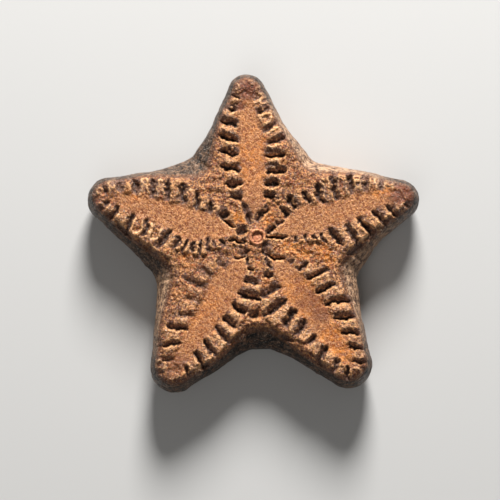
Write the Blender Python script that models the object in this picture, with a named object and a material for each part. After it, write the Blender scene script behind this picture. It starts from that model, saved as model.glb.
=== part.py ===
"""A star-shaped plate (columnal) from the stem of a fossil sea lily, 6 mm across and 1 mm thick.

The plate grew as one crystal of calcite, so it is one solid. Both its faces carry the same
joint pattern: a small canal in the middle, a smooth petal along each of the five arms, and a
row of short ridges and grooves down both sides of every petal. A ridge on one face lies over a
groove on the other, as it does where such plates stack and lock into a stem.

The plate lies on its lower face. The origin is the middle of the canal at the plane it rests
on, +Z points up, and +Y points towards the north arm. Arms are described in their own frame:
`along` runs from the canal to the tip, and `across` runs sideways, away from the middle line.
"""

import math
from collections import namedtuple

import bmesh
import bpy
from mathutils import Matrix, Vector

MM = 0.001  # the sizes below are in millimetres and the angles in degrees

THICKNESS = 1.0

# How far each part of a face lies below the crests of its ridges.
CREST_DROP = 0.0
FLOOR_DROP = 0.11
PETAL_DROP = 0.03
PETAL_EDGE_DROP = 0.035
FIELD_DROP = 0.04
RIM_DROP = 0.06
MOUTH_DROP = 0.10
MOAT_DROPS = (0.045, 0.09, 0.09, 0.045, 0.04)  # from a petal's point to the field beside it

GROOVE_FLOOR = 0.06
GROOVE_SIDE = 0.032
RIDGE_FOOT = 0.04
RIDGE_REACH = 0.56  # from the middle line of the arm, where the rim is further out
RIDGE_TO_RIM = 0.09
LOBE_TO_RIM = 0.045
RIDGE_TO_NEIGHBOUR = 0.06

CANAL_RADIUS = 0.15
CANAL_LIP = 0.04
CANAL_PIT_DROP = 0.055
CANAL_LIP_DROP = 0.02
MOAT_RADIUS = 0.27

PETAL_START = 0.28
PETAL_FULL = 0.95
PETAL_NARROWS = 1.9
PETAL_END = 2.8
PETAL_END_SHARE = 0.4
PETAL_LEAST = 0.025

# The outline is wider at half height, the waist, than at the rim of either face.
TIP_RADIUS = 0.30
NOTCH_RADIUS = 0.32
BELLY = 0.08
FLARE_ENDS = 0.5  # of the way from a notch to the tip
WALL_RINGS = ((0.22, 0.55), (0.50, 1.0), (0.78, 0.55))  # share of the height, share of the swell
CAP_START = 0.2  # of what is left of the rim after the last ridge

# A side is one half of an arm: how wide its half of the petal is, how far its ridges lean
# towards the tip, whether its grooves run out through the rim, which leaves the ridges' ends as
# free lobes, and where the grooves cross the petal's edge.
Side = namedtuple("Side", "petal lean runs_out grooves")
# An arm has as many grooves on its right as on its left, seen from the canal.
Arm = namedtuple("Arm", "angle reach right left")
# A notch follows its arm anticlockwise. Its inner grooves end in the smooth field between the
# arms, which starts at `field`, and not at the rim.
Notch = namedtuple("Notch", "field rim waist inner_grooves")

EAST = Arm(
    15.8,
    3.03,
    right=Side(0.17, 23, True, (0.64, 0.88, 1.10, 1.33, 1.60, 1.86, 2.14, 2.40, 2.66)),
    left=Side(0.28, 4, False, (0.62, 0.84, 1.08, 1.33, 1.58, 1.85, 2.12, 2.40, 2.68)),
)
NORTH = Arm(
    94.2,
    3.02,
    right=Side(0.25, 10, False, (0.51, 0.74, 0.96, 1.20, 1.44, 1.68, 1.93, 2.22, 2.48)),
    left=Side(0.19, 10, False, (0.53, 0.78, 1.02, 1.26, 1.50, 1.77, 2.04, 2.30, 2.55)),
)
WEST = Arm(
    164.9,
    3.15,
    right=Side(0.21, 2, False, (0.48, 0.70, 0.93, 1.19, 1.44, 1.69, 1.92, 2.18, 2.44, 2.70)),
    left=Side(0.30, 25, True, (0.62, 0.83, 1.03, 1.24, 1.45, 1.66, 1.89, 2.14, 2.40, 2.65)),
)
SOUTHWEST = Arm(
    237.4,
    3.22,
    right=Side(0.19, 17, False, (0.53, 0.79, 1.05, 1.30, 1.56, 1.83, 2.10, 2.40, 2.70)),
    left=Side(0.23, 6, True, (0.60, 0.79, 1.00, 1.22, 1.50, 1.84, 2.14, 2.40, 2.68)),
)
SOUTHEAST = Arm(
    305.9,
    3.27,
    right=Side(0.15, 10, True, (0.42, 0.66, 0.92, 1.20, 1.49, 1.78, 2.09, 2.40, 2.75)),
    left=Side(0.25, 19, False, (0.50, 0.72, 0.94, 1.20, 1.46, 1.76, 2.08, 2.39, 2.70)),
)
ARMS = (EAST, NORTH, WEST, SOUTHWEST, SOUTHEAST)
NOTCHES = (
    Notch(0.65, 1.53, 1.73, inner_grooves=3),
    Notch(0.58, 1.51, 1.86, inner_grooves=4),
    Notch(0.95, 1.68, 1.95, inner_grooves=3),
    Notch(0.55, 1.65, 1.97, inner_grooves=4),
    Notch(0.80, 1.60, 1.93, inner_grooves=3),
)

LINES_PER_GROOVE = 4  # a crest's end, the floor's two edges, the next crest's start
STEPS_ACROSS = 4  # middle line, petal edge, crest's inner end, crest's outer end, border


def mix(start, end, share):
    """The value that lies `share` of the way from start to end."""
    return start + (end - start) * share


def ease(share):
    """A share from 0 to 1 that starts and ends gently."""
    held = min(1.0, max(0.0, share))
    return held * held * (3 - 2 * held)


class HalfArm:
    """One half of an arm, in the arm's own frame, with the notch that it runs down to."""

    def __init__(self, arm, side, hand, neighbour, notch):
        self.arm = arm
        self.side = side
        self.hand = hand  # +1 for the left half, -1 for the right half
        self.notch = notch
        self.notch_angle = math.radians(abs(neighbour.angle - arm.angle) % 360) / 2
        if self.notch_angle > math.pi / 2:
            self.notch_angle = math.pi - self.notch_angle
        self.last_inner = LINES_PER_GROOVE * notch.inner_grooves
        self.lines = ridge_lines(side)
        self.stations = self.rim_stations()

    def to_plate(self, point):
        """A point of this half arm as a point of the plate."""
        turn = Matrix.Rotation(math.radians(self.arm.angle), 2)
        return turn @ Vector((point.x, point.y * self.hand))

    def outline(self, swell, station):
        """A point of the outline, from the notch at station 0 to the tip at station 1.

        At the rim of a face, where `swell` is 0, an arc round the notch, a straight flank and an
        arc round the tip meet with no corner. At the waist, where `swell` is 1, the side bellies
        out a little everywhere and much more between the arms.
        """
        tip_centre = Vector((self.arm.reach - BELLY - TIP_RADIUS, 0.0))
        notch_centre = polar(self.notch.rim + NOTCH_RADIUS, self.notch_angle)
        between = notch_centre - tip_centre
        lean = math.acos((TIP_RADIUS + NOTCH_RADIUS) / between.length)
        outward = math.atan2(between.y, between.x) - lean
        flank_start = notch_centre - polar(NOTCH_RADIUS, outward)
        flank_end = tip_centre + polar(TIP_RADIUS, outward)
        notch_arc = NOTCH_RADIUS * (outward - self.notch_angle)
        flank = (flank_end - flank_start).length
        gone = station * (notch_arc + flank + TIP_RADIUS * outward)
        if gone < notch_arc:
            facing = self.notch_angle + gone / NOTCH_RADIUS
            point = notch_centre - polar(NOTCH_RADIUS, facing)
        elif gone < notch_arc + flank:
            facing = outward
            point = flank_start.lerp(flank_end, (gone - notch_arc) / flank)
        else:
            facing = outward - (gone - notch_arc - flank) / TIP_RADIUS
            point = tip_centre + polar(TIP_RADIUS, facing)
        flare = (self.notch.waist - self.notch.rim - BELLY) * ease(1 - station / FLARE_ENDS)
        return point + swell * (polar(BELLY, facing) + polar(flare, self.notch_angle))

    def station_of_line(self, line):
        """Where on the rim a ridge's line ends, found by halving the stretch it is in."""
        foot = Vector((line, petal_width(self.side, line)))
        slope = math.tan(math.radians(self.side.lean))
        low, high = 0.0, 1.0
        for _ in range(40):
            middle = (low + high) / 2
            point = self.outline(0.0, middle)
            if point.x < foot.x + (point.y - foot.y) * slope:
                low = middle
            else:
                high = middle
        return low

    def rim_stations(self):
        """The stations of the rim's points, from the notch to the tip."""
        outer = [self.station_of_line(line) for line in self.lines[self.last_inner + 1 :]]
        cap_start = mix(outer[-1], 1.0, CAP_START)
        cap = [mix(cap_start, 1.0, step / STEPS_ACROSS) for step in range(STEPS_ACROSS + 1)]
        return [0.0] + outer + cap

    def border(self, number):
        """Where line `number` ends: on the line between two arms, or on the rim."""
        if number <= self.last_inner:
            share = number / self.last_inner
            return polar(mix(self.notch.field, self.notch.rim, share), self.notch_angle)
        return self.outline(0.0, self.stations[number - self.last_inner])

    def ridge_end(self, number, foot, border):
        """The outer end of a ridge or groove that starts at `foot`."""
        if number > self.last_inner:
            margin = LOBE_TO_RIM if self.side.runs_out else RIDGE_TO_RIM
            return foot.lerp(border, max(0.6, 1 - margin / (border - foot).length))
        lean = math.radians(self.side.lean)
        spread = math.tan(self.notch_angle)
        free = (foot.x * spread - foot.y) / (math.cos(lean) - math.sin(lean) * spread)
        length = min((RIDGE_REACH - foot.y) / math.cos(lean), free - RIDGE_TO_NEIGHBOUR)
        return foot + length * Vector((math.sin(lean), math.cos(lean)))

    def is_floor(self, number, floors_first):
        """Whether line `number` lies on a groove's floor; the two faces swap them."""
        return (number % LINES_PER_GROOVE in (1, 2)) != floors_first

    def border_drop(self, number, floors_first):
        """The drop where line `number` ends."""
        if number < self.last_inner:
            return FIELD_DROP
        runs_out = self.side.runs_out and number > self.last_inner
        return MOUTH_DROP if runs_out and self.is_floor(number, floors_first) else RIM_DROP

    def rim_drops(self, floors_first):
        """The drop of each point of the rim, from the notch to the tip."""
        outer = range(self.last_inner, len(self.lines))
        cap = [RIM_DROP] * (STEPS_ACROSS + 1)
        return [self.border_drop(number, floors_first) for number in outer] + cap

    def rows(self, other, floors_first):
        """The face over this half arm, as rows of (point, drop) from the canal to the tip.

        `other` is the arm's other half, which shares the middle line.
        """
        canal = [polar(CANAL_RADIUS, self.notch_angle * step / STEPS_ACROSS)
                 for step in range(STEPS_ACROSS + 1)]
        moat = [point * (MOAT_RADIUS / CANAL_RADIUS) for point in canal]
        rows = [[(point, CANAL_LIP_DROP) for point in canal], list(zip(moat, MOAT_DROPS))]
        for number, line in enumerate(self.lines):
            ridge_drop = FLOOR_DROP if self.is_floor(number, floors_first) else CREST_DROP
            middle = Vector(((line + other.lines[number]) / 2, 0.0))
            foot = Vector((line, petal_width(self.side, line)))
            border = self.border(number)
            end = self.ridge_end(number, foot, border)
            start = foot + (end - foot).normalized() * min(RIDGE_FOOT, (end - foot).length / 3)
            rows.append([
                (middle, PETAL_DROP),
                (foot, PETAL_EDGE_DROP),
                (start, ridge_drop),
                (end, ridge_drop),
                (border, self.border_drop(number, floors_first)),
            ])
        cap = [(self.outline(0.0, station), RIM_DROP) for station in self.stations[-STEPS_ACROSS - 1 :]]
        rows.append(cap[::-1])
        return rows


def polar(length, angle):
    """A flat vector of this length and heading, in radians."""
    return Vector((length * math.cos(angle), length * math.sin(angle)))


def petal_width(side, along):
    """Half the petal's width: pointed at the canal, full in the middle, narrower at the tip."""
    opening = ease((along - PETAL_START) / (PETAL_FULL - PETAL_START))
    closing = mix(1.0, PETAL_END_SHARE, ease((along - PETAL_NARROWS) / (PETAL_END - PETAL_NARROWS)))
    return max(PETAL_LEAST, side.petal * opening * closing)


def ridge_lines(side):
    """Where the edges of a side's crests and groove floors cross the petal's edge."""
    half = GROOVE_FLOOR / 2
    steps = (-half - GROOVE_SIDE, -half, half, half + GROOVE_SIDE)
    return [groove + step for groove in side.grooves for step in steps]


def half_arms():
    """The ten half arms, anticlockwise, each with its arm's other half."""
    pairs = []
    for number, arm in enumerate(ARMS):
        before = ARMS[number - 1]
        after = ARMS[(number + 1) % len(ARMS)]
        right = HalfArm(arm, arm.right, -1, before, NOTCHES[number - 1])
        left = HalfArm(arm, arm.left, 1, after, NOTCHES[number])
        pairs += [(right, left), (left, right)]
    return pairs


def add_vertex(mesh, flat, height):
    return mesh.verts.new(Vector((flat.x, flat.y, height)) * MM)


def add_grid(mesh, rows):
    """Four-sided faces between neighbouring rows of vertices."""
    for row, following in zip(rows, rows[1:]):
        for number in range(len(row) - 1):
            mesh.faces.new((row[number], row[number + 1], following[number + 1], following[number]))


def add_face(mesh, pairs, height_of, floors_first, canal_is_open):
    """One ridged face of the plate, with its canal open to a shallow pit or filled flush."""
    lip = [(CANAL_RADIUS, CANAL_LIP_DROP), (CANAL_RADIUS - CANAL_LIP, CANAL_LIP_DROP)]
    pit = [(CANAL_RADIUS - 2 * CANAL_LIP, CANAL_PIT_DROP)]
    rings = lip + pit if canal_is_open else [(CANAL_RADIUS, CREST_DROP)]
    for half, other in pairs:
        rows = half.rows(other, floors_first)
        if not canal_is_open:
            rows[0] = [(point, CREST_DROP) for point, _ in rows[0]]
        add_grid(mesh, [
            [add_vertex(mesh, half.to_plate(point), height_of(drop)) for point, drop in row]
            for row in rows
        ])
        spokes = [half.to_plate(point).normalized() for point, _ in rows[0]]
        discs = [
            [add_vertex(mesh, spoke * radius, height_of(drop)) for spoke in spokes]
            for radius, drop in rings
        ]
        add_grid(mesh, discs)
        centre = add_vertex(mesh, Vector((0.0, 0.0)), height_of(rings[-1][1]))
        for one, two in zip(discs[-1], discs[-1][1:]):
            mesh.faces.new((one, two, centre))


def add_wall(mesh, pairs):
    """The side of the plate, which swells between the rims of its two faces."""
    for half, _ in pairs:
        level = [THICKNESS] * len(half.stations)
        lower_rim = half.rim_drops(floors_first=True)
        upper_rim = [THICKNESS - drop for drop in half.rim_drops(floors_first=False)]
        rings = [(lower_rim, 0.0)]
        rings += [([share * height for height in level], swell) for share, swell in WALL_RINGS]
        rings += [(upper_rim, 0.0)]
        add_grid(mesh, [
            [
                add_vertex(mesh, half.to_plate(half.outline(swell, station)), height)
                for station, height in zip(half.stations, heights)
            ]
            for heights, swell in rings
        ])


def make_columnal():
    pairs = half_arms()
    mesh = bmesh.new()
    add_face(mesh, pairs, lambda drop: THICKNESS - drop, floors_first=False, canal_is_open=True)
    add_face(mesh, pairs, lambda drop: drop, floors_first=True, canal_is_open=False)
    add_wall(mesh, pairs)
    bmesh.ops.remove_doubles(mesh, verts=mesh.verts, dist=0.001 * MM)
    bmesh.ops.recalc_face_normals(mesh, faces=mesh.faces)
    data = bpy.data.meshes.new("columnal")
    mesh.to_mesh(data)
    mesh.free()
    columnal = bpy.data.objects.new("columnal", data)
    bpy.context.scene.collection.objects.link(columnal)
    return columnal


def fossil_calcite():
    """Orange-brown calcite with a dull gloss."""
    material = bpy.data.materials.new("fossil_calcite")
    material.use_nodes = True
    shader = material.node_tree.nodes["Principled BSDF"]
    shader.inputs["Base Color"].default_value = (0.42, 0.20, 0.09, 1.0)
    shader.inputs["Roughness"].default_value = 0.45
    shader.inputs["Metallic"].default_value = 0.0
    return material


for old in list(bpy.data.objects):
    bpy.data.objects.remove(old, do_unlink=True)

plate = make_columnal()
plate.data.materials.append(fossil_calcite())
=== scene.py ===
import math
from collections import namedtuple

import bpy
import numpy as np
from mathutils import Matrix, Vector
from mathutils.geometry import delaunay_2d_cdt


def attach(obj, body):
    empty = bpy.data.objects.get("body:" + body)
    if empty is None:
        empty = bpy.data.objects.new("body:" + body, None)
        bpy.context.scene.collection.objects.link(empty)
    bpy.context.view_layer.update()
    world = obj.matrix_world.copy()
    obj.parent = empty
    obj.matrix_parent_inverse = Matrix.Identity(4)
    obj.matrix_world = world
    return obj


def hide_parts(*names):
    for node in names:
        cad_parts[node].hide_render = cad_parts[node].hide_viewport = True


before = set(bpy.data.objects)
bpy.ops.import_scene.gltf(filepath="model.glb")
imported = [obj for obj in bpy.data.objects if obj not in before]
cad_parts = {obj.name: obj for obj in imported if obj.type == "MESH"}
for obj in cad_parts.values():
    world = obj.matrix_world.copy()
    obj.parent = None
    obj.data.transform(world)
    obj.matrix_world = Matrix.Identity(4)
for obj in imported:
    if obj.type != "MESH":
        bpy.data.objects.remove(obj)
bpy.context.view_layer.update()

# The outline of the plate
# The plate is one joint of a sea lily's stem, grown as a single crystal of calcite with five
# arms. Its outline runs round each rounded tip and each hollow notch between two arms, and its
# side swells out between the two faces, most of all in the notches.

MM = 0.001  # the sizes below are in millimetres and the angles in degrees

THICKNESS = 1.0
BELLY = 0.11  # how far the side swells out past the faces
FLARE_ENDS = 0.5  # the wider swell of a notch goes this share of the way to the tip
OUTLINE_STEPS = 72  # to each half of an arm
POINTS_AT_ONCE = 4000  # measured together, to spare memory

# A side is one half of an arm: how far its flank bulges, and whether its grooves run out through
# the rim. A notch follows its arm anticlockwise. `rim` and `waist` are its distances from the
# canal, at the faces and at half height, and `radius` is that of its hollow.
Side = namedtuple("Side", "bulge runs_out")
Arm = namedtuple("Arm", "name angle reach tip right left")
Notch = namedtuple("Notch", "rim waist radius")

ARMS = (
    Arm("east", 15.8, 3.02, 0.25, Side(-0.01, True), Side(0.06, False)),
    Arm("north", 94.2, 3.01, 0.24, Side(-0.02, False), Side(0.07, False)),
    Arm("west", 164.9, 3.16, 0.30, Side(0.06, False), Side(0.05, True)),
    Arm("southwest", 237.4, 3.20, 0.33, Side(0.06, False), Side(0.07, True)),
    Arm("southeast", 305.9, 3.22, 0.32, Side(0.045, True), Side(0.04, False)),
)
NOTCHES = (
    Notch(1.53, 1.755, 0.34),
    Notch(1.51, 1.915, 0.28),
    Notch(1.68, 1.975, 0.39),
    Notch(1.65, 1.98, 0.48),
    Notch(1.60, 1.915, 0.26),
)


def step(value, zero, one):
    """A gentle step: 0 until the value comes to `zero`, and 1 once it has passed `one`."""
    share = np.clip((value - zero) / (one - zero), 0.0, 1.0)
    return share * share * (3 - 2 * share)


def polar(length, angle):
    """Flat points at these lengths and headings, in radians."""
    return np.stack(np.broadcast_arrays(length * np.cos(angle), length * np.sin(angle)), -1)


class HalfArm:
    """One half of an arm, in the arm's own frame: `u` runs to the tip, `v` away from its middle."""

    def __init__(self, arm, side, hand, neighbour, notch):
        self.name = arm.name + (" left" if hand == 1 else " right")
        self.turn = math.radians(arm.angle)
        self.reach = arm.reach
        self.tip = arm.tip
        self.side = side
        self.hand = hand  # +1 for the left half, -1 for the right half
        self.notch = notch
        between = abs(neighbour.angle - arm.angle) % 360
        self.notch_angle = math.radians(min(between, 360 - between)) / 2

    def to_plate(self, points):
        u, v = points[..., 0], points[..., 1] * self.hand
        cos, sin = math.cos(self.turn), math.sin(self.turn)
        return np.stack((u * cos - v * sin, u * sin + v * cos), -1)

    def from_plate(self, points):
        x, y = points[..., 0], points[..., 1]
        cos, sin = math.cos(self.turn), math.sin(self.turn)
        return np.stack((x * cos + y * sin, (y * cos - x * sin) * self.hand), -1)

    def stations(self):
        """Where its points of the outline lie, anticlockwise: 0 is the notch and 1 is the tip."""
        stations = np.arange(OUTLINE_STEPS) / OUTLINE_STEPS
        return 1 - stations if self.hand == 1 else stations

    def outline(self, swell):
        """Its points of the outline on the plate, at the faces (0) or at half height (1)."""
        station = self.stations()
        radius, tip_radius = self.notch.radius, self.tip
        tip = np.array((self.reach - BELLY - tip_radius, 0.0))
        hollow = polar(self.notch.rim + radius, self.notch_angle)
        across = hollow - tip
        lean = math.acos((tip_radius + radius) / np.hypot(*across))
        outward = math.atan2(across[1], across[0]) - lean
        flank_start = hollow - polar(radius, outward)
        flank_end = tip + polar(tip_radius, outward)
        hollow_arc = radius * (outward - self.notch_angle)
        flank = np.hypot(*(flank_end - flank_start))
        gone = station * (hollow_arc + flank + tip_radius * outward)
        in_hollow = np.clip(gone / hollow_arc, 0, 1)
        on_flank = np.clip((gone - hollow_arc) / flank, 0, 1)[:, None]
        on_tip = np.clip((gone - hollow_arc - flank) / tip_radius, 0, None)
        facing = self.notch_angle + (outward - self.notch_angle) * in_hollow
        facing = facing - on_tip
        bulge = self.side.bulge * np.sin(math.pi * on_flank) ** 2 * polar(1.0, outward)
        point = np.where(
            on_tip[:, None] > 0,
            tip + polar(tip_radius, facing),
            hollow - polar(radius, facing) + on_flank * (flank_end - flank_start) + bulge,
        )
        flare = (self.notch.waist - self.notch.rim - BELLY) * step(station, FLARE_ENDS, 0)
        push = polar(BELLY, facing) + flare[:, None] * polar(1.0, self.notch_angle)
        return self.to_plate(point + swell * push)


HALVES = []
for number, arm in enumerate(ARMS):
    before, after = ARMS[number - 1], ARMS[(number + 1) % len(ARMS)]
    HALVES.append(HalfArm(arm, arm.right, -1, before, NOTCHES[number - 1]))
    HALVES.append(HalfArm(arm, arm.left, 1, after, NOTCHES[number]))

# Both loops run anticlockwise from the notch before the first arm.
RIM = np.vstack([half.outline(0.0) for half in HALVES])
WAIST = np.vstack([half.outline(1.0) for half in HALVES])
RIM_HEADING = np.unwrap(np.arctan2(RIM[:, 1], RIM[:, 0]))
RIM_RADIUS = np.hypot(RIM[:, 0], RIM[:, 1])


def rim_radius(heading):
    """How far the rim lies from the canal in these directions."""
    wrapped = (heading - RIM_HEADING[0]) % (2 * math.pi) + RIM_HEADING[0]
    return np.interp(wrapped, np.append(RIM_HEADING, RIM_HEADING[0] + 2 * math.pi),
                     np.append(RIM_RADIUS, RIM_RADIUS[0]))


def rim_distance(points):
    """How far points inside the rim lie from it."""
    ends = np.roll(RIM, -1, 0)
    found = []
    for part in np.array_split(points, 1 + len(points) // POINTS_AT_ONCE):
        nearest = ((part[:, None] - RIM) ** 2).sum(-1).argmin(1)
        best = np.full(len(part), np.inf)
        for segment in (nearest, nearest - 1):
            start, along = RIM[segment], ends[segment] - RIM[segment]
            share = ((part - start) * along).sum(-1) / (along**2).sum(-1)
            gap = part - start - np.clip(share, 0, 1)[:, None] * along
            best = np.minimum(best, np.hypot(gap[:, 0], gap[:, 1]))
        found.append(best)
    return np.concatenate(found)


# The two joint faces
# Each face has a smooth petal along every arm, and rows of short rounded ridges that once locked
# into the grooves of the next plate. Mud packed the grooves, and rubbing polished the crests. The
# grooves' dark paint is also painted shade, and the crests' pale paint also painted highlight.

# A groove starts at the petal's edge: how far along the arm, how far from its middle, the lean
# towards the tip in degrees, length, width, and how dark its mud and painted shade are from 0 to 1.
# The last two are for the ridge that follows it towards the tip: how pale its crest is, and how
# hollow.
Groove = namedtuple("Groove", "along across lean length width mud pale hollow")

GROOVES = {
    "east right": (
        Groove(0.64, 0.17, 3, 0.12, 0.07, 0.6, 0.4, 0),
        Groove(0.86, 0.18, -8, 0.14, 0.07, 0.6, 0.3, 0),
        Groove(0.98, 0.22, 29, 0.14, 0.06, 0.7, 0.4, 0),
        Groove(1.12, 0.24, 10, 0.20, 0.07, 0.7, 0.6, 0.4),
        Groove(1.28, 0.20, 25, 0.36, 0.13, 1.0, 0.8, 0),
        Groove(1.60, 0.20, 14, 0.43, 0.11, 0.9, 0.8, 0.5),
        Groove(1.86, 0.14, 21, 0.45, 0.13, 1.0, 0.7, 0.4),
        Groove(2.15, 0.11, 25, 0.41, 0.14, 0.9, 0.6, 0.4),
        Groove(2.40, 0.09, 29, 0.34, 0.11, 0.9, 0.6, 0),
        Groove(2.69, 0.15, 39, 0.15, 0.09, 0.8, 0, 0),
    ),
    "east left": (
        Groove(0.66, 0.24, -37, 0.18, 0.15, 1.0, 0.2, 0),
        Groove(0.84, 0.30, -23, 0.26, 0.15, 1.0, 0.5, 0.5),
        Groove(1.07, 0.33, -11, 0.24, 0.12, 1.0, 0.5, 0),
        Groove(1.30, 0.26, -4, 0.37, 0.15, 1.0, 0.5, 0.7),
        Groove(1.54, 0.27, 9, 0.45, 0.15, 1.0, 0.4, 0.6),
        Groove(1.82, 0.32, 19, 0.36, 0.15, 1.0, 0.5, 0.9),
        Groove(2.08, 0.27, 22, 0.31, 0.12, 0.8, 0.6, 0.5),
        Groove(2.35, 0.21, 29, 0.24, 0.12, 0.6, 0.4, 0.8),
        Groove(2.66, 0.18, 16, 0.16, 0.08, 0.5, 0, 0),
    ),
    "north right": (
        Groove(0.74, 0.17, -8, 0.27, 0.13, 0.9, 1.0, 0),
        Groove(0.97, 0.21, -4, 0.25, 0.13, 0.9, 1.0, 0),
        Groove(1.21, 0.24, -1, 0.36, 0.15, 0.9, 1.0, 0),
        Groove(1.48, 0.26, 2, 0.33, 0.14, 1.0, 1.0, 0),
        Groove(1.67, 0.28, 20, 0.38, 0.13, 0.8, 0.9, 0.6),
        Groove(1.90, 0.22, 29, 0.36, 0.11, 0.7, 0.9, 0.6),
        Groove(2.25, 0.14, 19, 0.27, 0.11, 0.8, 0.9, 0.8),
        Groove(2.48, 0.10, 22, 0.12, 0.07, 0.4, 0, 0),
    ),
    "north left": (
        Groove(0.75, 0.20, 12, 0.26, 0.14, 0.8, 1.0, 0),
        Groove(1.00, 0.21, 4, 0.30, 0.14, 0.9, 0.8, 0),
        Groove(1.24, 0.22, 19, 0.35, 0.13, 1.0, 1.0, 0),
        Groove(1.53, 0.23, 16, 0.35, 0.14, 1.0, 1.0, 0),
        Groove(1.78, 0.22, 23, 0.34, 0.14, 1.0, 1.0, 0.4),
        Groove(2.04, 0.20, 27, 0.33, 0.14, 1.0, 1.0, 0.3),
        Groove(2.31, 0.20, 27, 0.24, 0.10, 0.9, 1.0, 0),
        Groove(2.54, 0.14, 31, 0.17, 0.07, 0.9, 0, 0),
    ),
    "west right": (
        Groove(0.94, 0.21, 9, 0.17, 0.15, 1.0, 0.6, 0.3),
        Groove(1.20, 0.21, 11, 0.28, 0.12, 0.9, 0.5, 0.6),
        Groove(1.46, 0.22, 10, 0.38, 0.14, 1.0, 0.5, 0.4),
        Groove(1.74, 0.22, 12, 0.36, 0.14, 0.9, 0.5, 0.9),
        Groove(2.00, 0.20, 18, 0.33, 0.14, 0.8, 0.5, 0.9),
        Groove(2.29, 0.18, 23, 0.27, 0.14, 0.9, 0.8, 0),
        Groove(2.57, 0.16, 30, 0.22, 0.14, 0.8, 0.6, 0.8),
        Groove(2.80, 0.08, 50, 0.16, 0.10, 0.6, 0, 0),
    ),
    "west left": (
        Groove(0.62, 0.21, -22, 0.16, 0.08, 0.8, 0.4, 0),
        Groove(0.74, 0.26, -30, 0.12, 0.06, 0.5, 0.5, 0),
        Groove(0.85, 0.28, -20, 0.20, 0.10, 0.7, 0.6, 0.4),
        Groove(0.96, 0.32, -5, 0.29, 0.07, 0.8, 0.5, 0),
        Groove(1.07, 0.39, 3, 0.20, 0.11, 0.9, 0.6, 0),
        Groove(1.21, 0.38, 12, 0.22, 0.09, 0.8, 0.5, 0),
        Groove(1.35, 0.37, 13, 0.22, 0.10, 0.8, 0.7, 0.3),
        Groove(1.56, 0.29, 22, 0.36, 0.14, 0.9, 0.7, 1.0),
        Groove(2.00, 0.21, -3, 0.33, 0.10, 0.8, 0.6, 0.9),
        Groove(2.26, 0.19, 8, 0.37, 0.12, 0.9, 0.8, 0.3),
        Groove(2.57, 0.14, 16, 0.32, 0.11, 0.9, 0.7, 0),
        Groove(2.78, 0.09, 30, 0.25, 0.10, 0.8, 0, 0),
    ),
    "southwest right": (
        Groove(0.77, 0.18, -9, 0.22, 0.17, 0.6, 0.4, 0.3),
        Groove(1.07, 0.33, -10, 0.27, 0.17, 0.5, 0.4, 0),
        Groove(1.28, 0.28, 4, 0.45, 0.13, 0.6, 0.4, 0),
        Groove(1.54, 0.20, 18, 0.36, 0.12, 0.4, 0.6, 0),
        Groove(1.80, 0.22, 27, 0.36, 0.12, 0.5, 0.8, 0),
        Groove(2.05, 0.16, 28, 0.40, 0.11, 0.8, 0.8, 0.3),
        Groove(2.35, 0.16, 40, 0.33, 0.10, 0.8, 0.6, 0),
        Groove(2.66, 0.11, 36, 0.27, 0.10, 0.5, 0, 0),
    ),
    "southwest left": (
        Groove(0.77, 0.21, -20, 0.28, 0.14, 0.9, 0.8, 0.3),
        Groove(1.00, 0.27, -15, 0.39, 0.15, 1.0, 0.8, 0),
        Groove(1.25, 0.28, 2, 0.30, 0.15, 1.0, 0.9, 0),
        Groove(1.52, 0.26, 7, 0.30, 0.14, 0.9, 0.9, 0),
        Groove(1.77, 0.23, 15, 0.40, 0.14, 0.8, 0.9, 0.5),
        Groove(2.06, 0.22, 28, 0.31, 0.14, 0.9, 0.9, 0.3),
        Groove(2.33, 0.19, 28, 0.36, 0.11, 0.9, 0.9, 0.3),
        Groove(2.65, 0.17, 42, 0.24, 0.09, 0.9, 0, 0),
    ),
    "southeast right": (
        Groove(0.94, 0.20, -4, 0.39, 0.15, 0.9, 0.8, 0),
        Groove(1.20, 0.23, 1, 0.52, 0.15, 0.9, 0.8, 0.2),
        Groove(1.46, 0.22, 20, 0.38, 0.15, 1.0, 0.8, 0),
        Groove(1.71, 0.21, 28, 0.28, 0.15, 0.9, 0.8, 0.3),
        Groove(2.01, 0.20, 24, 0.23, 0.11, 0.8, 0.8, 0.2),
        Groove(2.31, 0.18, 32, 0.26, 0.13, 0.9, 0.7, 0),
        Groove(2.62, 0.11, 30, 0.29, 0.10, 0.7, 0.6, 0.3),
        Groove(2.82, 0.02, 46, 0.34, 0.09, 1.0, 0, 0),
    ),
    "southeast left": (
        Groove(0.73, 0.19, -16, 0.12, 0.07, 0.6, 0.4, 0),
        Groove(0.94, 0.25, -16, 0.22, 0.10, 0.9, 0.7, 0),
        Groove(1.16, 0.26, 3, 0.43, 0.12, 0.9, 0.6, 0.5),
        Groove(1.41, 0.29, 15, 0.37, 0.13, 1.0, 0.8, 0.3),
        Groove(1.68, 0.30, 25, 0.44, 0.14, 1.0, 0.7, 0),
        Groove(1.99, 0.27, 28, 0.40, 0.12, 1.0, 0.8, 0.3),
        Groove(2.26, 0.24, 44, 0.37, 0.09, 0.9, 0.7, 0.3),
        Groove(2.55, 0.20, 48, 0.31, 0.10, 0.9, 0.5, 0.3),
        Groove(2.80, 0.12, 50, 0.22, 0.08, 0.7, 0, 0),
    ),
}

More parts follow.
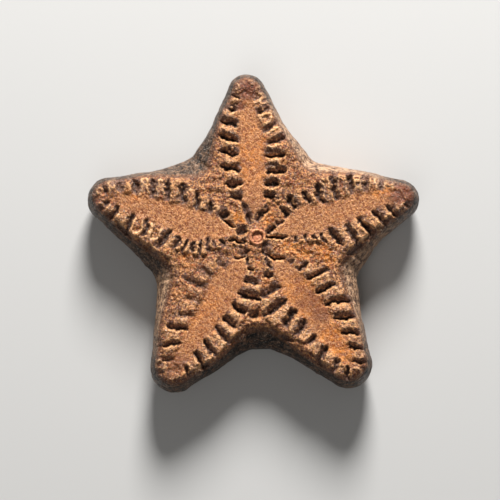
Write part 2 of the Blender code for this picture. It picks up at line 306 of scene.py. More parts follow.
# Furrows lie round the canal, between the petals' points: from one spot to another on the face.
Furrow = namedtuple("Furrow", "x y end_x end_y width mud")
FURROWS = (
    Furrow(-0.09, 0.26, -0.19, 0.46, 0.11, 0.8),
    Furrow(-0.19, 0.46, -0.28, 0.62, 0.10, 0.7),
    Furrow(-0.01, 0.28, 0.08, 0.44, 0.11, 0.9),
    Furrow(0.08, 0.46, 0.19, 0.52, 0.09, 0.8),
    Furrow(0.17, 0.08, 0.32, 0.19, 0.10, 0.9),
    Furrow(0.32, 0.21, 0.48, 0.32, 0.07, 0.7),
    Furrow(0.17, 0.01, 0.52, 0.03, 0.09, 1.0),
    Furrow(0.08, -0.24, 0.23, -0.31, 0.14, 0.8),
    Furrow(0.19, -0.33, 0.50, -0.39, 0.08, 1.0),
    Furrow(0.15, -0.10, 0.15, -0.28, 0.13, 0.8),
    Furrow(0.15, -0.35, 0.23, -0.57, 0.09, 0.8),
    Furrow(0.14, -0.69, 0.28, -0.71, 0.11, 0.8),
    Furrow(-0.19, -0.35, -0.19, -0.51, 0.05, 0.9),
    Furrow(-0.19, -0.55, -0.06, -0.59, 0.07, 1.0),
    Furrow(-0.17, -0.22, -0.31, -0.30, 0.13, 0.7),
    Furrow(-0.17, -0.31, -0.40, -0.39, 0.06, 1.0),
    Furrow(-0.19, -0.06, -0.52, -0.05, 0.08, 1.0),
    Furrow(-0.20, 0.14, -0.37, 0.08, 0.14, 0.8),
    Furrow(-0.38, 0.18, -0.64, 0.34, 0.07, 1.0),
    Furrow(-0.56, 0.44, -0.65, 0.37, 0.15, 0.9),
    Furrow(-0.01, -1.38, -0.13, -1.43, 0.12, 0.8),
)

# Knobs stand at the ends of the rows and among the ridges. Most are worn down to rings.
Knob = namedtuple("Knob", "x y radius height hollow")
KNOBS = (
    Knob(0.03, 2.65, 0.085, 0.9, 1.0),
    Knob(0.12, 2.47, 0.095, 1.0, 1.0),
    Knob(-0.11, 2.79, 0.06, 0.8, 0.9),
    Knob(-0.37, 2.72, 0.08, 0.8, 0.7),
    Knob(-0.42, 2.47, 0.08, 1.0, 0),
    Knob(-0.51, 2.30, 0.08, 1.0, 0),
    Knob(2.40, 1.00, 0.10, 0.9, 1.0),
    Knob(2.62, 0.98, 0.07, 0.8, 1.0),
    Knob(2.15, 1.00, 0.07, 0.7, 0.7),
    Knob(1.81, 0.95, 0.08, 0.9, 1.0),
    Knob(-2.60, 0.97, 0.10, 0.9, 1.0),
    Knob(-2.84, 0.84, 0.08, 0.9, 0.9),
    Knob(-2.32, 0.88, 0.10, 1.0, 0),
    Knob(-2.04, 1.00, 0.09, 0.8, 1.0),
    Knob(-1.75, 0.98, 0.08, 0.7, 1.0),
    Knob(-1.73, -2.32, 0.10, 0.8, 0.7),
    Knob(-0.13, -0.64, 0.07, 0.8, 1.0),
    Knob(-1.62, -0.28, 0.11, 1.0, 0),
    Knob(-1.34, -2.52, 0.10, 0.9, 0),
    Knob(-1.55, -2.61, 0.08, 0.9, 0.3),
    Knob(-1.05, -2.41, 0.09, 1.0, 0),
    Knob(1.76, -2.46, 0.12, 0.9, 0.4),
    Knob(1.48, -2.43, 0.09, 0.9, 0.3),
    Knob(-2.83, 0.56, 0.08, 0.9, 0.3),
    Knob(1.82, -2.08, 0.08, 0.7, 0.3),
    Knob(0.37, 0.70, 0.06, 0.8, 0),
    Knob(-0.74, 0.52, 0.07, 0.6, 0.9),
)

# Stains that soaked into the stone, and darker patches that are partly painted shade: place, how
# wide each one spreads, and how strong it is.
STAINS = {
    "amber": (
        (-0.35, 0.37, 0.12, 0.9), (-0.24, 0.25, 0.07, 1.0), (0.21, 0.34, 0.12, 0.9),
        (0.15, 0.26, 0.06, 0.9), (0.59, -0.21, 0.14, 0.8), (0.82, -0.24, 0.16, 0.9),
        (1.21, -0.28, 0.14, 1.0), (1.36, -0.46, 0.12, 0.9), (0.19, -0.86, 0.11, 0.8),
        (0.23, -1.16, 0.13, 0.8), (-1.30, -0.46, 0.14, 0.6), (-1.62, -0.28, 0.10, 0.7),
        (1.36, -1.84, 0.26, 0.7), (1.56, -2.14, 0.26, 0.8), (-2.31, 0.89, 0.10, 0.9),
        (2.40, 0.88, 0.12, 0.9), (2.20, 0.79, 0.12, 0.6), (-2.18, 0.70, 0.09, 0.5),
        (-1.48, -1.00, 0.15, 0.5), (0.0, -0.52, 0.10, 0.6), (-0.92, -1.35, 0.50, 0.3),
        (0.80, -1.10, 0.42, 0.42), (-0.01, 1.45, 0.50, 0.38),
    ),
    "stain": (
        (-0.16, 2.66, 0.17, 0.9), (2.66, 0.76, 0.22, 1.0), (2.84, 0.70, 0.20, 1.0),
        (-2.92, 0.61, 0.12, 0.6), (-1.66, -2.73, 0.16, 0.7), (-1.82, -2.45, 0.10, 0.6),
        (-1.39, -2.27, 0.14, 0.5), (1.72, -2.66, 0.14, 0.6), (-1.03, -2.08, 0.12, 0.4),
        (-0.31, 2.36, 0.08, 0.8), (0.94, -1.15, 0.22, 0.55), (1.12, -1.38, 0.18, 0.6),
    ),
    "shade": (
        (1.63, -0.24, 0.15, 0.9), (1.54, -0.46, 0.11, 0.9), (1.52, -0.69, 0.10, 0.9),
        (1.54, -0.93, 0.10, 0.8), (1.64, -1.09, 0.10, 0.7), (-1.43, -0.60, 0.11, 0.6),
        (-1.25, -0.71, 0.11, 0.5), (-1.55, -0.48, 0.12, 0.8), (-1.75, -0.31, 0.12, 0.9),
        (-1.93, -0.28, 0.12, 1.0), (-0.29, 0.10, 0.12, 0.7), (0.08, -1.69, 0.12, 0.6),
        (0.23, -1.65, 0.11, 0.6), (-0.22, -1.78, 0.11, 0.5), (-2.02, -0.12, 0.12, 0.8),
        (0.26, -1.40, 0.08, 0.6), (-0.14, -1.17, 0.09, 0.4),
    ),
}

# How far the plain parts and the petals lie below the highest crests, and how far the other
# forms go below those.
PLAIN_DROP = 0.050
PETAL_DROP = 0.038
GROOVE_DEPTH = 0.085
SLIT_DEPTH = 0.050
FURROW_DEPTH = 0.090
LEDGE_DROP = 0.10
RIM_DROP = 0.075
SHOULDER = 0.13  # the rim is rounded over this width

# A pair is where a form begins and where it is full.
PETAL_START = 0.22  # from the canal's middle
PETAL_TO_GROOVE = 0.02
PETAL_EDGE = (-0.07, 0.07)  # inwards from its edge
TIP = (-0.85, -0.25)  # from the end of the arm
OPEN_FROM = (1.3, 1.6)  # from the canal, on a side whose grooves run out
OPEN_TO = (0.35, 0.75)  # from the end of the arm, on such a side
LOWER_GROOVE_WIDTH = 0.12

# A ridge, along in millimetres from its foot at the petal or from its head, and across in half
# widths. A worn one is hollow, with a pale line round it like a hairpin, partly painted highlight.
RIDGE_MARGIN = 0.3
RIDGE_FILL = 0.50  # half its width, as a share of the way from groove to groove
RIDGE_ROUNDNESS = 0.6
RIDGE_FOOT = (-0.04, 0.12)
RIDGE_HEAD = (0.0, 0.16)
LOBE = 0.4  # how far a round head goes past the grooves' ends, in half widths
HOLLOW_ACROSS = (0.40, 0.20)
HOLLOW_FOOT = (0.0, 0.08)
HOLLOW_HEAD = (0.045, 0.135)
HOLLOW_DEPTH = 0.9
HOLLOW_SHADE = 0.8
HAIRPIN_TURN = 1.2
HAIRPIN_HALF = 0.50
HAIRPIN_LINE = (0.156, 0.026)
HAIRPIN_FOOT = (0.0, 0.05)
# A crest's pale paint is partly rubbing and partly painted highlight. On a ridge that runs from west
# to east its southern half, turned from the north light, gets less of it, as painted shade.
CREST_FOOT = (-0.02, 0.08)
CREST_HEAD = (0.0, 0.12)
CREST_SOUTH = (-0.15, 0.55)  # its southern half is rubbed less
CREST_SOUTH_SHADE = 0.8

# A groove has its long slope on the north and its steep one on the south, with a narrow slit
# between them. These pairs are for one that runs from south to north and for one that runs from
# west to east, and places across it are in half widths towards the south.
SLIT_PLACE = (0.0, 0.5)
STEEP_END = (1.40, 1.80)
# Mud on a groove's slopes is partly painted shade, most of all on the long northern slope, which is
# turned from the light.
MUD_AND_SHADE_END = (1.4, 0.5)  # past the slit
MUD_AND_SHADE_FADE = (0.8, 0.3)
MUD_AND_SHADE_STRENGTH = (1.4, 1.0)
SLIT_STRENGTH = (0.4, 1.0)
LONG_START = -1.4
MUD_AND_SHADE_START = (-1.9, -0.7)
END_WIDTH = 0.85  # as a share of its width
PLUMP = 0.25  # how much wider it is in the middle
PLUMP_PLACE = 1.1  # above 1, its widest place moves towards its foot
PLUMP_ROUNDNESS = 0.7
PAST_END = 0.3  # widths that it goes past its line
TAPER_WIDTHS = 0.10  # its ends run out over this many widths
TAPER_LENGTHS = 0.32  # and over this many lengths
MUD_AND_SHADE_TAPER = 0.5  # the share of that over which its mud runs out
SHALLOWER = 1.4  # the power that makes a clean groove shallower
SLIT_WIDTH = 0.34
SLIT_STOPS = 0.2  # widths before the line's ends
SLIT_BLUNTNESS = 1.5
SLIT_EDGE = (1.6, 0.6)
SLIT_FROM = 0.5  # the darkness of the mud from which it shows
SLIT_GAIN = 1.8

# Knobs, in shares of their radius.
KNOB_CLEARS = (1.5, 0.5)
KNOB_RING = (0.5, 0.7)
KNOB_RING_OUTSIDE = (1.05, 0.85)
KNOB_HOLLOW = (0.75, 0.35)
KNOB_MUD_AND_SHADE = (0.65, 0.30)
KNOB_MUD_AND_SHADE_STRENGTH = 0.7
KNOB_FILLS = 0.8  # how much of a groove a knob fills

# Bands beside the rim, by how far they lie from it.
RIDGES_STOP = (0.112, 0.042)
GROOVES_STOP = (0.0, 0.06)
LEDGE_BACK = (0.13, 0.03)
LEDGE_FRONT = (0.033, 0.003)
LEDGE_LIP = 0.3
LEDGE_BREAKS = (-0.62, 0.38)
LIP = (0.03, 0.01)
BORDER = (0.32, 0.0)
RIM_BAND = (0.0455, 0.0105)
INNER_PART = (0.05, 0.11)

# How forms hide one another's colours. The two pairs are shares of a groove's depth.
CREST_CLEARS = (0.6, 0.1)
PALE_LINE_CLEARS = (0.727, 0.273)
# The ledge under free lobes is painted dark as shade: brown with the mud, and near black with the
# slits.
LEDGE_BROWN_SHADE = 0.9
LEDGE_SHADE = 0.8
TIP_HIDES_PETAL = 0.6
RIDGES_HIDE_BORDER = 0.4
RIDGES_HIDE_RIM = 0.5
STAIN_EDGE = (1.5, 0.5)  # in shares of a stain's size

# Unevenness of the stone: its height, the size of its bumps, how many times finer bumps are
# added, and the number of its table of random values, counted from the face's first.
Uneven = namedtuple("Uneven", "height size octaves table")
WANDERS = (
    (Uneven(0.017, 0.15, 1, 0), Uneven(0.017, 0.15, 1, 1)),
    (Uneven(0.011, 0.05, 1, 2), Uneven(0.011, 0.05, 1, 3)),
)
FIELD_LUMPS = Uneven(0.018, 0.11, 3, 4)
GRAIN_LUMPS = Uneven(0.008, 0.06, 2, 5)
RIDGE_LUMPS = Uneven(0.013, 0.07, 2, 6)
MUD_LUMPS = Uneven(0.022, 0.05, 2, 7)
TIP_PITS = Uneven(0.024, 0.09, 2, 8)
LEDGE_GAPS = Uneven(0.9, 0.13, 2, 9)
UPPER_TABLE = 20
LOWER_TABLE = 40
TABLE_SIZE = 61
TABLE_START = 300  # keeps every place in the table above 0
TABLE_SHIFT = 17.3  # how far along the table each finer set of bumps is read
LUMPS_GAIN = 1.6
PETAL_SMOOTHS = 0.7  # how much less grain a petal has


def lumps(points, size, number, octaves):
    """Smooth random bumps from about -1 to 1, of about this size, from one random table."""
    table = np.random.default_rng(number).uniform(-1, 1, (TABLE_SIZE, TABLE_SIZE, TABLE_SIZE))
    total, share = 0.0, 0.0
    for octave in range(octaves):
        spot = points / size * 2**octave + TABLE_SHIFT * octave + TABLE_START
        cell = np.floor(spot).astype(int)
        inside = spot - cell
        inside = inside**3 * (inside * (inside * 6 - 15) + 10)
        value = 0.0
        for corner in np.ndindex((2,) * points.shape[1]):
            index = (cell + corner) % TABLE_SIZE
            third = index[:, 2] if points.shape[1] == 3 else number % TABLE_SIZE
            near = np.where(corner, inside, 1 - inside).prod(1)
            value = value + table[index[:, 0], index[:, 1], third] * near
        weight = 0.5**octave
        total = total + value * weight
        share += weight
    return total / share * LUMPS_GAIN


def dome(share, power=0.5):
    """A round section: 1 in the middle and 0 from a share of 1 outwards."""
    return np.clip(1 - share**2, 0, 1) ** power


class Line:
    """A stroke across a face, and where points lie beside it."""

    def __init__(self, start, end):
        self.start, self.end = np.array(start), np.array(end)
        along = self.end - self.start
        self.length = np.hypot(*along)
        self.heading = along / self.length
        self.normal = np.array((-self.heading[1], self.heading[0]))
        self.level = abs(self.normal[1])  # 1 where it runs from west to east, 0 from south to north

    def near(self, points, margin):
        """The numbers of the points that the stroke may touch."""
        middle = (self.start + self.end) / 2
        return np.flatnonzero(np.hypot(*(points - middle).T) < self.length / 2 + margin)

    def beside(self, points):
        """How far along the stroke the points lie, and how far to the south of it."""
        offset = points - self.start
        return offset @ self.heading, offset @ self.normal * -math.copysign(1, self.normal[1])

    def by_lean(self, pair):
        """A value between the one for a stroke to the north and the one for a stroke to the east."""
        return pair[0] + (pair[1] - pair[0]) * self.level


Row = namedtuple("Row", "foot head groove")


def groove_rows(half, lower):
    """One side's grooves. The lower face has them where the upper face has its ridges."""
    rows = []
    for groove in GROOVES[half.name]:
        lean = math.radians(groove.lean)
        foot = np.array((groove.along, groove.across))
        head = foot + groove.length * np.array((math.sin(lean), math.cos(lean)))
        rows.append(Row(half.to_plate(foot), half.to_plate(head), groove))
    if not lower:
        return rows
    return [Row((one.foot + two.foot) / 2, (one.head + two.head) / 2,
                one.groove._replace(width=LOWER_GROOVE_WIDTH)) for one, two in zip(rows, rows[1:])]


def petal_edge(half, along):
    """How far the petal reaches from the arm's middle: just short of its grooves."""
    rows = GROOVES[half.name]
    places = [PETAL_START] + [row.along for row in rows]
    reaches = [0.0] + [row.across - PETAL_TO_GROOVE for row in rows]
    return np.interp(along, places, reaches)


FORMS = ("ridge", "ridge_zone", "crest", "pale_lit_line", "groove", "furrow", "shadowed_slit", "mud", "petal",
         "tip", "open_side", "knob")


class Face:
    """One joint face. Its marks say from 0 to 1 how much each point belongs to each form."""

    def __init__(self, points, lower):
        self.points = points
        self.first_table = LOWER_TABLE if lower else UPPER_TABLE
        self.marks = {form: np.zeros(len(points)) for form in FORMS}
        self.to_rim = rim_distance(points)
        self.bent = points
        for sideways, upwards in WANDERS:
            self.bent = self.bent + np.stack((self.uneven(sideways), self.uneven(upwards)), -1)
        for half in HALVES:
            rows = groove_rows(half, lower)
            for one, two in zip(rows, rows[1:]):
                self.raise_ridge(one, two, half.side.runs_out)
            for row in rows:
                self.carve("groove", Line(row.foot, row.head), row.groove.width, row.groove.mud)
            self.lay_petal(half)
        if not lower:
            for row in FURROWS:
                line = Line((row.x, row.y), (row.end_x, row.end_y))
                self.carve("furrow", line, row.width, row.mud)
        self.raise_knobs()
        self.meet_rim()
        self.drop = self.relief()
        self.masks = self.colour_masks()

    def uneven(self, kind):
        """Bumps of one kind at every point."""
        number = self.first_table + kind.table
        return kind.height * lumps(self.points, kind.size, number, kind.octaves)

    def mark(self, form, values, near=slice(None)):
        """Raise a mark to these values wherever it is lower."""
        self.marks[form][near] = np.maximum(self.marks[form][near], values)

    def raise_ridge(self, one, two, runs_out):
        """The ridge between two grooves. It has a round head where it is free or worn hollow."""
        line = Line((one.foot + two.foot) / 2, (one.head + two.head) / 2)
        near = line.near(self.bent, RIDGE_MARGIN)
        along, south = line.beside(self.bent[near])
        foot = RIDGE_FILL * np.hypot(*(two.foot - one.foot))
        head = RIDGE_FILL * np.hypot(*(two.head - one.head))
        south = south / np.interp(along / line.length, (0, 1), (foot, head))
        hollow = one.groove.hollow
        if runs_out or hollow:
            to_head = line.length + LOBE * head - along
            closing = dome(np.maximum(0, 1 - to_head / head))
        else:
            to_head = line.length - along
            closing = step(to_head, *RIDGE_HEAD)
        shape = dome(south, RIDGE_ROUNDNESS) * closing * step(along, *RIDGE_FOOT)
        inside = hollow * step(np.abs(south), *HOLLOW_ACROSS)
        inside = inside * step(to_head, *HOLLOW_HEAD) * step(along, *HOLLOW_FOOT)
        # Pale crest paint, partly rubbing and partly painted highlight, with painted shade on the
        # southern half.
        rubbed_and_lit = shape * step(along, *CREST_FOOT) * step(to_head, *CREST_HEAD)
        rubbed_and_lit = rubbed_and_lit * (1 - CREST_SOUTH_SHADE * line.level * step(south, *CREST_SOUTH))
        off = np.hypot(np.maximum(0, HAIRPIN_TURN - to_head / head), south)
        hairpin = hollow * step(np.abs(off - HAIRPIN_HALF), *HAIRPIN_LINE)
        self.mark("ridge", shape * (1 - HOLLOW_DEPTH * inside), near)
        self.mark("ridge_zone", shape, near)
        self.mark("crest", rubbed_and_lit * (1 - HOLLOW_SHADE * inside) * one.groove.pale, near)
        self.mark("pale_lit_line", hairpin * step(along, *HAIRPIN_FOOT), near)

    def carve(self, form, line, width, mud):
        """Sink one groove or furrow: mud and painted shade on its slopes, a slit painted as shadow at
        its bottom.
        """
        near = line.near(self.bent, 2 * width)
        along, south = line.beside(self.bent[near])
        middle = np.sin(math.pi * np.clip(along / line.length * PLUMP_PLACE, 0, 1)) ** PLUMP_ROUNDNESS
        half_width = width / 2 * (END_WIDTH + PLUMP * middle)
        south = south / half_width
        taper = TAPER_WIDTHS * width + TAPER_LENGTHS * line.length
        to_end = np.minimum(along, line.length - along) + PAST_END * width
        bed = line.by_lean(SLIT_PLACE)
        slopes = np.minimum(step(south, LONG_START, bed), step(south, line.by_lean(STEEP_END), bed))
        self.mark(form, slopes * step(to_end, 0, taper) * mud**SHALLOWER, near)
        mud_and_shade_end = bed + line.by_lean(MUD_AND_SHADE_END)
        coat = step(south, *MUD_AND_SHADE_START) * step(south, mud_and_shade_end, mud_and_shade_end - line.by_lean(MUD_AND_SHADE_FADE))
        coat = coat * step(to_end, 0, MUD_AND_SHADE_TAPER * taper)
        self.mark("mud", coat * min(1.0, mud * line.by_lean(MUD_AND_SHADE_STRENGTH)), near)
        stop = SLIT_STOPS * width
        beyond = np.abs(along - np.clip(along, stop, max(line.length - stop, stop))) / half_width
        thin = np.hypot(beyond * SLIT_BLUNTNESS, (south - bed) / SLIT_WIDTH)
        # A slit is painted near black as shadow, more where the groove runs from west to east, across
        # the north light.
        strength = SLIT_GAIN * max(0.0, mud - SLIT_FROM) * line.by_lean(SLIT_STRENGTH)
        self.mark("shadowed_slit", step(thin, *SLIT_EDGE) * strength, near)

    def lay_petal(self, half):
        """One half of a petal, with the arm's tip and the part of its side that is open."""
        local = half.from_plate(self.bent)
        angle = np.arctan2(local[:, 1], local[:, 0])
        mine = (angle >= 0) & (angle < half.notch_angle)
        u, v = local[mine].T
        self.marks["petal"][mine] = step(petal_edge(half, u) - v, *PETAL_EDGE)
        self.marks["tip"][mine] = step(u - half.reach, *TIP)
        if half.side.runs_out:
            self.marks["open_side"][mine] = step(u, *OPEN_FROM) * step(half.reach - u, *OPEN_TO)

    def raise_knobs(self):
        """Each knob clears the ridges round it. A worn one is a ring with a pale line, partly painted
        highlight, and with mud and painted shade inside.
        """
        nearest = np.full(len(self.points), np.inf)
        for row in KNOBS:
            share = np.hypot(self.bent[:, 0] - row.x, self.bent[:, 1] - row.y) / row.radius
            nearest = np.minimum(nearest, share)
            hollow = HOLLOW_DEPTH * row.hollow * step(share, *KNOB_HOLLOW)
            ring = row.hollow * step(share, *KNOB_RING) * step(share, *KNOB_RING_OUTSIDE)
            self.mark("knob", dome(share) * row.height * (1 - hollow))
            self.mark("pale_lit_line", ring)
            self.mark("mud", KNOB_MUD_AND_SHADE_STRENGTH * row.hollow * step(share, *KNOB_MUD_AND_SHADE))
        self.marks["ridge"] *= 1 - step(nearest, *KNOB_CLEARS)
        self.mark("ridge", self.marks["knob"])

    def meet_rim(self):
        """Grooves thin out at the rim. Free lobes end short of it, over a small broken ledge."""
        marks = self.marks
        marks["ridge"] *= 1 - marks["open_side"] * step(self.to_rim, *RIDGES_STOP)
        marks["groove"] *= step(self.to_rim, *GROOVES_STOP)
        marks["unbroken"] = step(self.uneven(LEDGE_GAPS), *LEDGE_BREAKS)
        ledge = step(self.to_rim, *LEDGE_BACK) - LEDGE_LIP * step(self.to_rim, *LEDGE_FRONT)
        marks["ledge"] = marks["open_side"] * ledge * (1 - marks["ridge"]) * marks["unbroken"]

    def relief(self):
        """How far every point lies below the highest crests."""
        marks = self.marks
        petal, tip, zone = marks["petal"], marks["tip"], marks["ridge_zone"]
        drop = (PLAIN_DROP + (PETAL_DROP - PLAIN_DROP) * petal) * (1 - marks["ridge"])
        drop += GROOVE_DEPTH * marks["groove"] * (1 - KNOB_FILLS * marks["knob"])
        drop += SLIT_DEPTH * marks["shadowed_slit"] + FURROW_DEPTH * marks["furrow"]
        drop += RIM_DROP * np.clip(1 - self.to_rim / SHOULDER, 0, 1) ** 2
        drop += LEDGE_DROP * marks["ledge"]
        drop += self.uneven(FIELD_LUMPS) * (1 - petal) * (1 - zone)
        drop += self.uneven(GRAIN_LUMPS) * (1 - PETAL_SMOOTHS * petal * (1 - tip))
        drop += np.maximum(0, self.uneven(TIP_PITS)) * tip
        drop += self.uneven(RIDGE_LUMPS) * zone
        drop += self.uneven(MUD_LUMPS) * (marks["groove"] + marks["furrow"])
        return drop

    def colour_masks(self):
        """The shares, from 0 to 1, that the colours of the stone follow."""
        marks, to_rim = self.marks, self.to_rim
        masks = {
            "petal": marks["petal"] * (1 - TIP_HIDES_PETAL * marks["tip"]),
            "tip": marks["tip"],
            "crest": marks["crest"] * step(marks["groove"], *CREST_CLEARS),
            "pale_lit_line": marks["pale_lit_line"] * step(marks["groove"], *PALE_LINE_CLEARS),
            "mud": np.clip(marks["mud"] + LEDGE_BROWN_SHADE * marks["ledge"], 0, 1),
            "shadowed_slit": np.maximum(marks["shadowed_slit"], LEDGE_SHADE * marks["ledge"]),
            "lip": marks["open_side"] * marks["unbroken"] * step(to_rim, *LIP),
            "border": step(to_rim, *BORDER) * (1 - RIDGES_HIDE_BORDER * marks["ridge_zone"]),
            "rim": step(to_rim, *RIM_BAND) * (1 - RIDGES_HIDE_RIM * marks["ridge"]),
        }
        for name, spots in STAINS.items():
            masks[name] = np.zeros(len(self.points))
            for x, y, size, strength in spots:
                gap = np.hypot(self.bent[:, 0] - x, self.bent[:, 1] - y)
                stained = strength * step(gap / size, *STAIN_EDGE)
                masks[name] = np.maximum(masks[name], stained)
        return masks


# The stem canal
# A narrow canal ran down the middle of the stem. It is choked with stone, and a smooth ring
# stands round it on the upper face, with a broken one inside. Below, its filling is flush with
# the crests.

Ring = namedtuple("Ring", "x y radius half_width")

CANAL_FILLING = (0.15, 0.12)  # from its middle
CANAL_COLOUR = (0.175, 0.145)
CANAL_HOLE = (0.114, 0.084)
CANAL_DEPTH = 0.07
CANAL_RING = Ring(0, 0, 0.124, 0.023)
RING_DROP = 0.008
PLUG = Ring(-0.015, -0.035, 0, 0.075)  # a ball of stone in the hole
PLUG_RISE = 0.020
INNER_RING = Ring(-0.005, -0.012, 0.062, 0.020)
INNER_RISE = 0.030
INNER_FACING = -0.8  # where it is whole, in radians
INNER_ENDS = (-0.5, 0.0)


def ring_section(points, ring):
    """The round section of a ring that lies on the face."""
    radius = np.hypot(points[:, 0] - ring.x, points[:, 1] - ring.y)
    return dome((radius - ring.radius) / ring.half_width)


def open_canal(face):
    """The upper end of the canal: the ring, the pit inside it and what fills the pit."""
    points = face.points
    radius = np.hypot(*points.T)
    hole = step(radius, *CANAL_HOLE)
    filling = CANAL_DEPTH - PLUG_RISE * ring_section(points, PLUG)
    facing = np.arctan2(points[:, 1] - INNER_RING.y, points[:, 0] - INNER_RING.x)
    whole = step(np.cos(facing - INNER_FACING), *INNER_ENDS)
    filling = filling - INNER_RISE * ring_section(points, INNER_RING) * whole
    ring = ring_section(points, CANAL_RING)
    drop = face.drop * (1 - hole) + filling * hole
    face.drop = np.clip(drop * (1 - ring) + RING_DROP * ring, 0, None)
    face.masks["canal"] = step(radius, *CANAL_COLOUR)


def close_canal(face):
    """The lower end of the canal: its filling, flush with the crests."""
    radius = np.hypot(*face.points.T)
    face.drop = np.clip(face.drop * (1 - step(radius, *CANAL_FILLING)), 0, None)
    face.masks["canal"] = step(radius, *CANAL_COLOUR)


# The side of the plate
# The side swells out between the faces. It was never rubbed, so it is rough, scaly and streaked
# along its length. Each stretch has its own tone, partly painted light and shade: the side of the
# south notch, turned from the north light, is painted nearly black.

WALL_RINGS = 26
SWELL_ROUNDNESS = 0.75
SIDE_LUMPS = Uneven(0.010, 0.12, 3, 77)
SIDE_LUMPS_FLATTENED = 2.0
SIDE_SINKS = 0.004

# How pale the side is beside each half arm, from 0, nearly black, to 1, cream. Part of this is
# painted light and shade, by how each stretch faces the north light.
WALL_TONES_AND_SHADE = {
    "east right": 0.60, "east left": 0.85, "north right": 0.75, "north left": 0.12,
    "west right": 0.20, "west left": 0.12, "southwest right": 0.80, "southwest left": 0.0,
    "southeast right": 0.05, "southeast left": 0.75,
}
TIP_TONE = 0.08
TIP_TONE_PLACE = (0.409, 0.864)  # from the notch (0) to the tip (1)
TONE_ROUNDS = 12


def wall(top, bottom):
    """The rings of points up the side, between the lower rim and the upper one."""
    rings = []
    outward = WAIST - RIM
    outward /= np.hypot(*outward.T)[:, None]
    for number in range(1, WALL_RINGS):
        share = number / WALL_RINGS
        height = bottom + (top - bottom) * share
        flat = RIM + (WAIST - RIM) * math.sin(math.pi * share) ** SWELL_ROUNDNESS
        spot = np.column_stack((flat, height * SIDE_LUMPS_FLATTENED))
        bump = lumps(spot, SIDE_LUMPS.size, SIDE_LUMPS.table, SIDE_LUMPS.octaves)
        bump = SIDE_LUMPS.height * bump - SIDE_SINKS
        flat = flat + outward * (bump * math.sin(math.pi * share))[:, None]
        rings.append(np.column_stack((flat, height)))
    return rings


def wall_tones_and_shade():
    """How pale the side is at every point of the outline, partly painted light and shade."""
    tones_and_shade = []
    for half in HALVES:
        own = WALL_TONES_AND_SHADE[half.name]
        tones_and_shade.append(own + (TIP_TONE - own) * step(half.stations(), *TIP_TONE_PLACE))
    tones_and_shade = np.concatenate(tones_and_shade)
    for _ in range(TONE_ROUNDS):
        tones_and_shade = (np.roll(tones_and_shade, 1) + tones_and_shade + np.roll(tones_and_shade, -1)) / 3
    return tones_and_shade


# The whole plate
# All of it is one piece of fossil calcite: the two faces and the side between them are one
# closed skin, with finer triangles above than below. The stone is a mottled orange-brown, and
# what was rubbed, stained or packed with mud shows in its colour, along with painted highlights,
# glints and painted shade.

FACE_GRAIN = 0.0195
UNDERSIDE_GRAIN = 0.034
LATTICE_REACH = 3.4
LATTICE_SHAKE = 0.16  # in grains
RIM_CLEAR = 0.6  # in grains
WEAR_AND_SHADE_ROUNDS = 4
WEAR_AND_SHADE_KEEPS = 0.4
WEAR_AND_SHADE_HEIGHT = 0.008  # a point this far above its surroundings counts as 1
UNDERSIDE_WEAR_AND_SHADE = 0.5


def lattice(grain, seed):
    """The rim's points, and slightly uneven ones about a grain apart all over its inside."""
    rows = np.arange(-LATTICE_REACH, LATTICE_REACH, grain * math.sqrt(3) / 2)
    columns = np.arange(-LATTICE_REACH, LATTICE_REACH, grain)
    x, y = np.meshgrid(columns, rows)
    x = x + grain / 2 * (np.arange(len(rows)) % 2)[:, None]
    spots = np.stack((x.ravel(), y.ravel()), -1)
    shake = np.random.default_rng(seed).uniform(-LATTICE_SHAKE, LATTICE_SHAKE, spots.shape)
    spots += shake * grain
    radius = np.hypot(*spots.T)
    spots = spots[radius < rim_radius(np.arctan2(spots[:, 1], spots[:, 0]))]
    return np.vstack((RIM, spots[rim_distance(spots) > grain * RIM_CLEAR]))


def knit(points):
    """Triangles through a lattice's points, the rim's first."""
    flat = [Vector(point) for point in points]
    edges = [(number, (number + 1) % len(RIM)) for number in range(len(RIM))]
    _, _, faces, origins, _, _ = delaunay_2d_cdt(flat, edges, [], 1, 1e-6)
    return [[origins[corner][0] for corner in face] for face in faces]


def smoothed(heights, ends):
    """The heights after each point has moved a few times towards its neighbours' average."""
    count = len(heights)
    one, two = ends
    number = np.maximum(1, np.bincount(one, minlength=count) + np.bincount(two, minlength=count))
    for _ in range(WEAR_AND_SHADE_ROUNDS):
        total = np.bincount(one, heights[two], count) + np.bincount(two, heights[one], count)
        heights = WEAR_AND_SHADE_KEEPS * heights + (1 - WEAR_AND_SHADE_KEEPS) * total / number
    return heights


upper = Face(lattice(FACE_GRAIN, 1), lower=False)
open_canal(upper)
lower = Face(lattice(UNDERSIDE_GRAIN, 2), lower=True)
close_canal(lower)

around = len(RIM)
upper_count = len(upper.points)
faces_count = upper_count + len(lower.points)
rings = wall(THICKNESS - upper.drop[:around], lower.drop[:around])
wall_count = around * len(rings)
skins = [np.column_stack((upper.points, THICKNESS - upper.drop)),
         np.column_stack((lower.points, lower.drop))]
triangles = knit(upper.points)
triangles += [[upper_count + corner for corner in reversed(face)] for face in knit(lower.points)]
bands = []
levels = [upper_count] + [faces_count + around * number for number in range(len(rings))] + [0]
for below, above in zip(levels, levels[1:]):
    for number in range(around):
        beside = (number + 1) % around
        bands.append([below + number, below + beside, above + beside, above + number])
mesh = bpy.data.meshes.new("columnal")
mesh.from_pydata((np.vstack(skins + rings) * MM).tolist(), [], triangles + bands)
mesh.validate()
mesh.shade_smooth()

